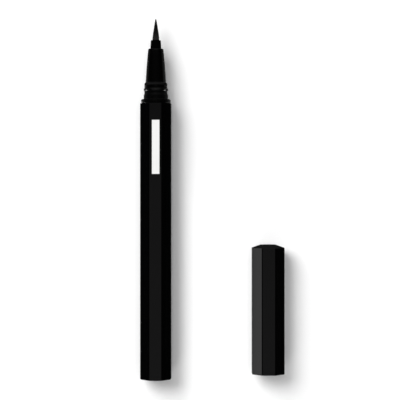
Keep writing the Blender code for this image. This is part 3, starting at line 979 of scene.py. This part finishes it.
@dataclass
class Brush:
    """The pointed brush: fibres that follow its outline and end near its point.

    Each pair of outline_shares is a share of the way from the slice's front to the tip, and the
    brush's radius there as a share of its foot's.
    """

    root: float = Extent.of("brush_bristles", Line.PEN).low
    slice_length: float = 0.80
    slice_sides: int = 48
    tip: float = 28.68
    foot: float = 1.18
    outline_shares: tuple[Pair, ...] = (
        (0.0, 1.0), (0.12, 0.983), (0.26, 0.881), (0.39, 0.784), (0.48, 0.678), (0.57, 0.576),
        (0.70, 0.466), (0.79, 0.373), (0.88, 0.271), (0.95, 0.178), (1.0, 0.085),
    )
    strands: int = 700
    strand_radius: float = 0.040
    strand_sides: int = 5
    strand_overlap: float = 0.10
    rings: int = 12
    ring_power: float = 0.9
    shortening_share: float = 0.02
    ragged_share: float = 0.04
    blunt_share: float = 0.4
    thickening_share: float = 4.0
    seed: int = 7

    @property
    def start(self) -> float:
        """The height where the fused slice ends and the fibres part."""
        return self.root + self.slice_length

    def reach(self, share: float) -> float:
        """Work out how far the outermost fibre's middle is from the axis.

        Args:
            share: How far along the brush, from 0 to 1.

        Returns:
            The distance.
        """
        for (low, wide), (high, narrow) in zip(self.outline_shares, self.outline_shares[1:]):
            if share <= high:
                width_share = wide + (narrow - wide) * (share - low) / (high - low)
                return self.foot * width_share - self.strand_radius
        return 0.0

    def bearing(self, number: int) -> Vector:
        """Work out a fibre's place across the brush, as a share of the outermost fibre's.

        Args:
            number: The fibre's number.

        Returns:
            Its place, 1 long at the outside.
        """
        angle = number * GOLDEN_ANGLE
        return Vector((math.cos(angle), math.sin(angle), 0)) * math.sqrt((number + 0.5) / self.strands)

    def build(self) -> None:
        """Make the fused slice and the fibres that come out of it."""
        corners = [
            Corner(0, self.root),
            Corner(self.foot, self.root),
            Corner(self.foot, self.start),
            Corner(0, self.start),
        ]
        bm = turned(corners, self.slice_sides)
        self.draw_fibres(bm)
        bmesh.ops.holes_fill(bm, edges=bm.edges, sides=self.strand_sides)
        bmesh.ops.recalc_face_normals(bm, faces=bm.faces)
        add_piece("brush_fibres", bm, Line.PEN, BRISTLE_BLACK, ("brush_bristles",))

    def draw_fibres(self, bm: bmesh.types.BMesh) -> None:
        """Draw all fibres out together, ring by ring.

        Args:
            bm: The mesh of the fused slice.
        """
        draw = random.Random(self.seed)
        owner = bm.faces.layers.int.new("fibre")
        fronts, ends = [], []
        for number in range(self.strands):
            across = self.bearing(number)
            foot = across * self.reach(0) + Vector((0, 0, self.start - self.strand_overlap))
            made = bmesh.ops.create_circle(
                bm, cap_ends=True, segments=self.strand_sides, radius=self.strand_radius,
                matrix=Matrix.Translation(foot),
            )
            face = made["verts"][0].link_faces[0]
            face[owner] = number
            fronts.append(face)
            outness = across.length
            lost = self.shortening_share * outness + self.ragged_share * draw.random() * outness
            ends.append(1 - lost)
        for step in range(1, self.rings + 1):
            fronts = bmesh.ops.extrude_discrete_faces(bm, faces=fronts)["faces"]
            way = step / self.rings
            thick = self.strand_radius * min(1.0, self.blunt_share + self.thickening_share * (1 - way))
            for face in fronts:
                number = face[owner]
                share = ends[number] * way**self.ring_power
                aim = self.bearing(number) * self.reach(share)
                aim.z = self.start + (self.tip - self.start) * share
                middle = face.calc_center_median()
                for vert in face.verts:
                    vert.co = aim + (vert.co - middle).normalized() * thick


# The cap


@dataclass
class CapShell:
    """The cap's octagonal shell."""

    shell: OctagonShell = OctagonShell(
        Extent.of("cap_shell", Line.CAP), crown_height=1.07, crown_flats=5.00, bore=5.04, end_wall=2.40
    )

    def build(self) -> None:
        """Make the shell."""
        bm = self.shell.mesh()
        # The crown's faces get the painted sheen finish
        add_piece(
            "cap_octagon", bm, Line.CAP, CAP_BLACK, ("cap_shell",), flat_faces=True,
            second=PAINTED_SHEEN_BLACK,
        )


@dataclass(frozen=True)
class Liner:
    """The round sleeve in the cap, with the snap rib and the lip that keeps the inner cap in."""

    cad: Extent = Extent.of("cap_liner", Line.CAP)
    bore: float = 4.34
    end_wall: float = 0.80
    rib: float = 3.95
    rib_middle: float = 3.95
    rib_reach: float = 0.45
    lip: float = 3.59
    lip_front: float = 8.15
    lip_length: float = 0.60
    edge_round: float = 0.12
    mouth_round: float = 0.10
    lip_rear_round: float = 0.08

    @property
    def floor(self) -> float:
        """The height of its closed end's inner face."""
        return self.cad.high - self.end_wall

    def build(self) -> None:
        """Make the sleeve."""
        mouth, end, lip_rear = self.cad.low, self.cad.high, self.lip_front + self.lip_length
        corners = [
            Corner(0, end),
            Corner(self.cad.radius, end),
            Corner(self.cad.radius, mouth, self.mouth_round),
            Corner(self.bore, mouth, self.edge_round),
            Corner(self.bore, self.rib_middle - self.rib_reach),
            Corner(self.rib, self.rib_middle, self.edge_round),
            Corner(self.bore, self.rib_middle + self.rib_reach),
            Corner(self.bore, self.lip_front),
            Corner(self.lip, self.lip_front, self.edge_round),
            Corner(self.lip, lip_rear, self.lip_rear_round),
            Corner(self.bore, lip_rear),
            Corner(self.bore, self.floor),
            Corner(0, self.floor),
        ]
        add_piece("cap_sleeve", turned(corners), Line.CAP, LINER_BLACK, ("cap_liner",))


@dataclass(frozen=True)
class InnerCap:
    """The sprung cup that closes over the nose."""

    cad: Extent = Extent.of("inner_cap", Line.CAP)
    bore: float = 3.16
    outside: float = 3.84
    flange_length: float = 1.00
    end_wall: float = 1.00
    spigot: float = 1.30
    spigot_length: float = 1.50
    mouth_round: float = 0.14
    flange_round: float = 0.06
    end_round: float = 0.15

    @property
    def end(self) -> float:
        """The height of the outer face that the spring presses on."""
        return self.cad.high - self.spigot_length

    def build(self) -> None:
        """Make the cup."""
        mouth, floor = self.cad.low, self.end - self.end_wall
        corners = [
            Corner(0, floor),
            Corner(self.bore, floor),
            Corner(self.bore, mouth, self.mouth_round),
            Corner(self.cad.radius, mouth, self.flange_round),
            Corner(self.cad.radius, mouth + self.flange_length),
            Corner(self.outside, mouth + self.flange_length),
            Corner(self.outside, self.end, self.end_round),
            Corner(self.spigot, self.end),
            Corner(self.spigot, self.cad.high, self.end_round),
            Corner(0, self.cad.high),
        ]
        piece = add_piece(
            "seal_cup", turned(corners), Line.CAP, LINER_BLACK, ("inner_cap",)
        )
        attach(piece, "inner_cap")


@dataclass
class PressSpring:
    """The coil spring between the inner cap and the liner's closed end."""

    coil: float = 2.40
    wire: float = 0.20
    wire_sides: int = 12
    front: float = InnerCap().end + FIT_GAP
    rear: float = Liner().floor - FIT_GAP
    closed_pitch: float = 0.44
    open_turns: float = 5.5
    steps_a_turn: int = 24
    press: float = 2.0

    def build(self) -> None:
        """Wind the spring, with a closed turn at each end."""
        bm = bmesh.new()
        first = Vector((self.coil, 0, self.front + self.wire))
        made = bmesh.ops.create_circle(
            bm, cap_ends=True, segments=self.wire_sides, radius=self.wire,
            matrix=Matrix.Translation(first) @ Matrix.Rotation(math.pi / 2, 4, "X"),
        )
        face = made["verts"][0].link_faces[0]
        end = [face, *face.edges, *face.verts]
        length = self.rear - self.front
        rise = length - 2 * self.wire - 2 * self.closed_pitch
        for turns, climb in ((1, self.closed_pitch), (self.open_turns, rise), (1, self.closed_pitch)):
            steps = round(turns * self.steps_a_turn)
            wound = bmesh.ops.spin(
                bm, geom=end, cent=(0, 0, 0), axis=(0, 0, 1), dvec=(0, 0, climb / steps),
                angle=math.tau * turns, steps=steps,
            )
            end = wound["geom_last"]
        bmesh.ops.recalc_face_normals(bm, faces=bm.faces)
        piece = add_piece("press_spring", bm, Line.CAP, STEEL, ("inner_cap_spring",))
        (length - self.press) / length
        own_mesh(piece)


# CAD nodes that stay


@dataclass(frozen=True)
class Inside:
    """The inner pieces whose CAD shape is right: each gets its finish."""

    finishes: tuple[tuple[str, Finish], ...] = (
        ("ink_tank", NATURAL_RESIN), ("mixing_ball", STEEL), ("tank_stopper", WHITE_RESIN),
        ("stopper_o_ring", SEAL_RUBBER), ("collector", WHITE_RESIN), ("feed_core", FEED_FIBRE),
        ("neck_o_ring", SEAL_RUBBER), ("brush_root", TIP_BLACK),
    )

    def dress(self) -> None:
        """Give each kept node its finish."""
        for name, finish in self.finishes:
            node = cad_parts[name]
            if not node.material_slots:
                node.data.materials.append(None)
            for held in node.material_slots:
                held.material = finish.material()
            log.info("%s: %s", name, finish.name)


# The studio


@dataclass(frozen=True)
class Sun:
    """A soft distant lamp, which gloss doesn't mirror.

    Its angles are in degrees. Its share is its part of the light on the floor, of which 1 shows the
    floor's own colour.
    """

    name: str
    azimuth: float
    elevation: float
    spread: float
    share: float

    def add(self) -> None:
        """Add the lamp."""
        azimuth, elevation = math.radians(self.azimuth), math.radians(self.elevation)
        lamp = bpy.data.lights.new(self.name, "SUN")
        lamp.angle = math.radians(self.spread)
        lamp.energy = self.share * math.pi / math.sin(elevation)
        towards = Vector((
            math.cos(elevation) * math.cos(azimuth),
            math.cos(elevation) * math.sin(azimuth),
            math.sin(elevation),
        ))
        held = bpy.data.objects.new(self.name, lamp)
        held.rotation_mode = "QUATERNION"
        held.rotation_quaternion = towards.to_track_quat("Z", "Y")
        held.visible_camera = False
        held.visible_glossy = False
        bpy.context.scene.collection.objects.link(held)


@dataclass(frozen=True)
class Card:
    """A small lit card that faces one way, and may light one piece only."""

    name: str
    place: Triple
    aim: Triple
    height: float
    width: float
    radiance: float
    lit_piece: str = ""

    def add(self) -> None:
        """Add the card."""
        lamp = bpy.data.lights.new(self.name, "AREA")
        lamp.shape = "RECTANGLE"
        lamp.size = self.width * MM
        lamp.size_y = self.height * MM
        lamp.energy = self.radiance * math.pi * lamp.size * lamp.size_y
        held = bpy.data.objects.new(self.name, lamp)
        held.location = Vector(self.place) * MM
        held.rotation_mode = "QUATERNION"
        held.rotation_quaternion = Vector(self.aim).to_track_quat("-Z", "Y")
        held.visible_camera = False
        bpy.context.scene.collection.objects.link(held)
        if self.lit_piece:
            lit = bpy.data.collections.new(self.name)
            lit.objects.link(bpy.data.objects[self.lit_piece])
            held.light_linking.receiver_collection = lit


@dataclass(frozen=True)
class SoftBox:
    """A bright patch of the surroundings: a band of heights towards one side.

    Heights are sines of the elevation, and the side's edge is given in cosines of the bearing.
    """

    towards: Triple
    foot: Pair
    top: Pair
    edge: Pair
    radiance: float

    def glow(self, sheet: Sheet, height: Flow, level: Flow) -> Flow:
        """Light the patch.

        Args:
            sheet: The world's node sheet.
            height: The ray's height.
            level: The ray's direction along the ground.

        Returns:
            The patch's radiance at the ray.
        """
        facing = sheet.vector("DOT_PRODUCT", level, self.towards, "Value")
        return sheet.window(height, self.foot, self.top) * sheet.rise(facing, *self.edge) * self.radiance


@dataclass
class Studio:
    """Floor, lamps, dim surroundings and the camera straight above.

    The surroundings are brightest at the zenith, above the heights of zenith_foot, and fade forwards
    between the leanings of zenith_front.
    """

    floor_size: float = 60000.0
    camera_place: Triple = (14.87, 14.05, 442.9)
    lens: float = 117.0
    sensor: float = 36.0
    nearest: float = 10.0
    farthest: float = 100000.0
    suns: tuple[Sun, ...] = (
        Sun("key", 138.0, 43.0, 42.0, 0.60),
        Sun("top", 0.0, 84.0, 26.0, 0.13),
        Sun("rear", -118.0, 37.0, 24.0, 0.08),
        Sun("front", 102.0, 60.0, 28.0, 0.08),
        Sun("right", 0.0, 67.0, 26.0, 0.06),
    )
    cards: tuple[Card, ...] = (
        Card("cap_card", (9.0, -24.0, 11.4), (1.0, 0.0, 0.0), 6.4, 84.0, 0.92),
        Card("left_glint", (-7.8, 46.1, 3.5), (0.602, 0.602, 0.525), 2.2, 2.2, 7.5, "neck_moulding"),
        Card("right_glint", (7.56, 45.6, 3.84), (-0.571, 0.664, 0.482), 2.2, 2.2, 7.5, "neck_moulding"),
    )
    soft_boxes: tuple[SoftBox, ...] = (
        SoftBox((0, 1, 0), (0.05, 0.14), (0.82, 0.90), (0.5, 0.8), 0.40),
        SoftBox((0, 1, 0), (0.82, 0.86), (0.890, 0.918), (0.80, 0.93), 0.90),
        SoftBox((0, -1, 0), (0.15, 0.30), (0.80, 0.92), (0.5, 0.8), 0.40),
    )
    zenith: float = 0.165
    zenith_slope: float = -0.25
    zenith_foot: Pair = (0.955, 0.985)
    zenith_front: Pair = (0.02, 0.20)
    dusk: float = 0.006

    def build_floor(self) -> None:
        """Lay the pale floor."""
        bm = bmesh.new()
        bmesh.ops.create_grid(bm, x_segments=1, y_segments=1, size=self.floor_size / 2 * MM)
        mesh = bpy.data.meshes.new("floor")
        bm.to_mesh(mesh)
        bm.free()
        floor = bpy.data.objects.new("floor", mesh)
        bpy.context.scene.collection.objects.link(floor)
        mesh.materials.append(FLOOR_WHITE.material())

    def build_world(self) -> None:
        """Set the dim surroundings with soft boxes overhead, in front and behind."""
        world = bpy.data.worlds.new("surroundings")
        world.use_nodes = True
        bpy.context.scene.world = world
        sheet = Sheet(world.node_tree)
        ray = sheet.node("ShaderNodeTexCoord", out="Generated")
        height = sheet.node("ShaderNodeSeparateXYZ", {}, {"Vector": ray}, "Z")
        ahead = sheet.node("ShaderNodeSeparateXYZ", {}, {"Vector": ray}, "Y")
        level = sheet.vector("NORMALIZE", sheet.vector("MULTIPLY", ray, (1, 1, 0)))
        overhead = sheet.rise(height, *self.zenith_foot) * (1 - sheet.rise(ahead, *self.zenith_front))
        glow = overhead * (ahead * self.zenith_slope + self.zenith) + self.dusk
        for box in self.soft_boxes:
            glow += box.glow(sheet, height, level)
        grey = {key: glow for key in ("Red", "Green", "Blue")}
        colour = sheet.node("ShaderNodeCombineColor", {}, grey)
        sheet.feed(world.node_tree.nodes["Background"].inputs["Color"], colour)

    def build_camera(self) -> None:
        """Hang the camera above, looking straight down with +Y upwards."""
        lens = bpy.data.cameras.new("camera")
        lens.lens = self.lens
        lens.sensor_width = self.sensor
        lens.clip_start = self.nearest * MM
        lens.clip_end = self.farthest * MM
        camera = bpy.data.objects.new("camera", lens)
        camera.location = Vector(self.camera_place) * MM
        bpy.context.scene.collection.objects.link(camera)
        bpy.context.scene.camera = camera

    def build(self) -> None:
        """Build the whole studio."""
        self.build_floor()
        self.build_world()
        for lamp in (*self.suns, *self.cards):
            lamp.add()
        self.build_camera()
        bpy.context.scene.view_settings.view_transform = "Standard"


def main() -> None:
    """Build the pen, the cap and the studio."""
    logging.basicConfig(level=logging.INFO, format="%(name)s: %(message)s")
    pen = (Barrel(), Neck(), Nose(), TipTube(), Brush())
    cap = (CapShell(), Liner(), InnerCap(), PressSpring())
    for maker in (*pen, *cap):
        maker.build()
    Inside().dress()
    Studio().build()


if __name__ == "__main__":
    main()
